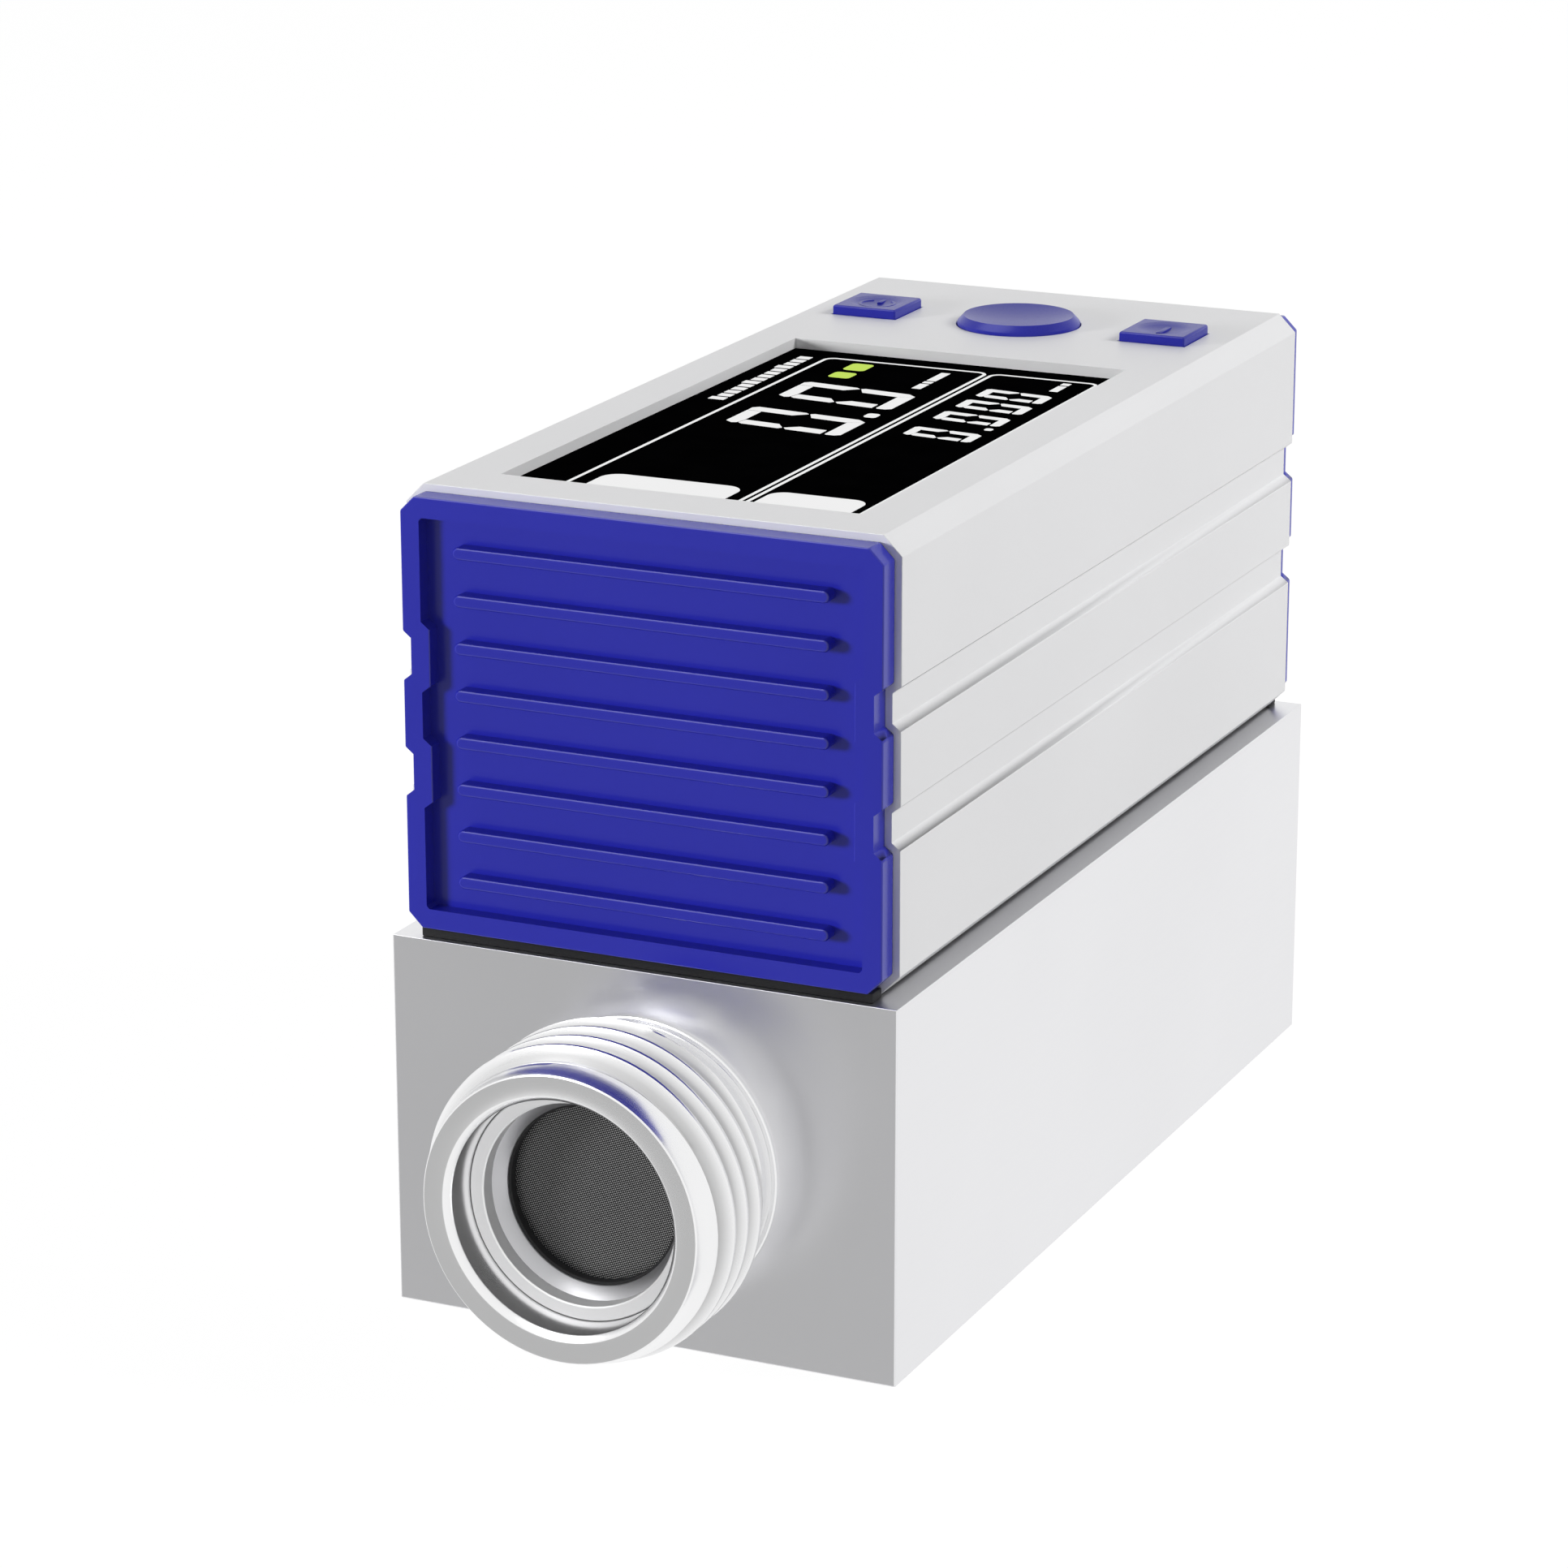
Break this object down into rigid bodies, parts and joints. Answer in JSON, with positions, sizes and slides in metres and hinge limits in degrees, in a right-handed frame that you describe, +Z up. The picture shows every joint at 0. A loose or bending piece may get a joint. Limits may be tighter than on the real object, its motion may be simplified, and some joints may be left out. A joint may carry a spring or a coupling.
{
  "type": "thermal mass flow meter",
  "caption": "Compact thermal mass flow meter: square flow block with threaded ports and wire screens, grooved housing with ribbed blue caps, display and push keys.",
  "frame": {"origin": "middle of the flow block's underside", "axes": "+Y along the flow from inlet to outlet, +Z up from the block to the display, +X across the block"},
  "size_m": [0.035, 0.097, 0.0548],
  "materials": {
    "block_aluminium": "fine machined, satin",
    "port_metal": "turned, bright",
    "ring_metal": "turned, bright",
    "screen_wire": "bright wire",
    "black_rubber": "matt",
    "housing_aluminium": "fine blasted, anodised clear",
    "blue_cap": "anodised blue, satin",
    "blue_key": "anodised blue, satin",
    "black_window": "glossy",
    "black_plastic": "moulded, matt",
    "grey_panel": "matt",
    "board_green": "solder mask",
    "ribbon_white": "matt",
    "sensor_gold": "gold plated",
    "standoff_brass": "turned",
    "screw_steel": "plated",
    "socket_metal": "nickel plated",
    "calm_steel": "drilled disc"
  },
  "bodies": {
    "meter": {"flow_block": "block_aluminium", "inlet_port": "port_metal", "outlet_port": "port_metal", "inlet_screen_ring": "ring_metal", "outlet_screen_ring": "ring_metal", "inlet_screen": "screen_wire", "outlet_screen": "screen_wire", "inlet_port_seal": "black_rubber", "outlet_port_seal": "black_rubber", "inlet_screen_gasket": "black_rubber", "outlet_screen_gasket": "black_rubber", "sensor_seal": "black_rubber", "base_gasket": "black_rubber", "front_cap_seal": "black_rubber", "rear_cap_seal": "black_rubber", "socket_seal": "black_rubber", "housing": "housing_aluminium", "front_cap": "blue_cap", "rear_cap": "blue_cap", "display_window": "black_window", "sensor_carrier": "black_plastic", "display_frame": "black_plastic", "processor": "black_plastic", "socket_insert": "black_plastic", "switch_left": "black_plastic", "switch_middle": "black_plastic", "switch_right": "black_plastic", "display_panel": "grey_panel", "supply_coil": "grey_panel", "sensor_board": "board_green", "main_board": "board_green", "sensor_ribbon": "ribbon_white", "sensor_chip": "sensor_gold", "socket_contacts": "sensor_gold", "standoff_1": "standoff_brass", "standoff_2": "standoff_brass", "standoff_3": "standoff_brass", "standoff_4": "standoff_brass", "sensor_screw_left": "screw_steel", "sensor_screw_right": "screw_steel", "housing_screw_1": "screw_steel", "housing_screw_2": "screw_steel", "housing_screw_3": "screw_steel", "housing_screw_4": "screw_steel", "board_screw_1": "screw_steel", "board_screw_2": "screw_steel", "board_screw_3": "screw_steel", "board_screw_4": "screw_steel", "socket_shell": "socket_metal", "socket_nut": "socket_metal", "flow_straightener": "calm_steel"},
    "key_left": {"key_left": "blue_key", "plunger_left": "black_plastic"},
    "key_middle": {"key_middle": "blue_key", "plunger_middle": "black_plastic"},
    "key_right": {"key_right": "blue_key", "plunger_right": "black_plastic"}
  },
  "joints": [
    {"name": "press_key_left", "type": "slide", "parent": "meter", "child": "key_left", "axis": [0, 0, -1], "range_m": [0, 0.0005], "stiffness_N_per_m": 1000},
    {"name": "press_key_middle", "type": "slide", "parent": "meter", "child": "key_middle", "axis": [0, 0, -1], "range_m": [0, 0.0005], "stiffness_N_per_m": 1000},
    {"name": "press_key_right", "type": "slide", "parent": "meter", "child": "key_right", "axis": [0, 0, -1], "range_m": [0, 0.0005], "stiffness_N_per_m": 1000}
  ]
}
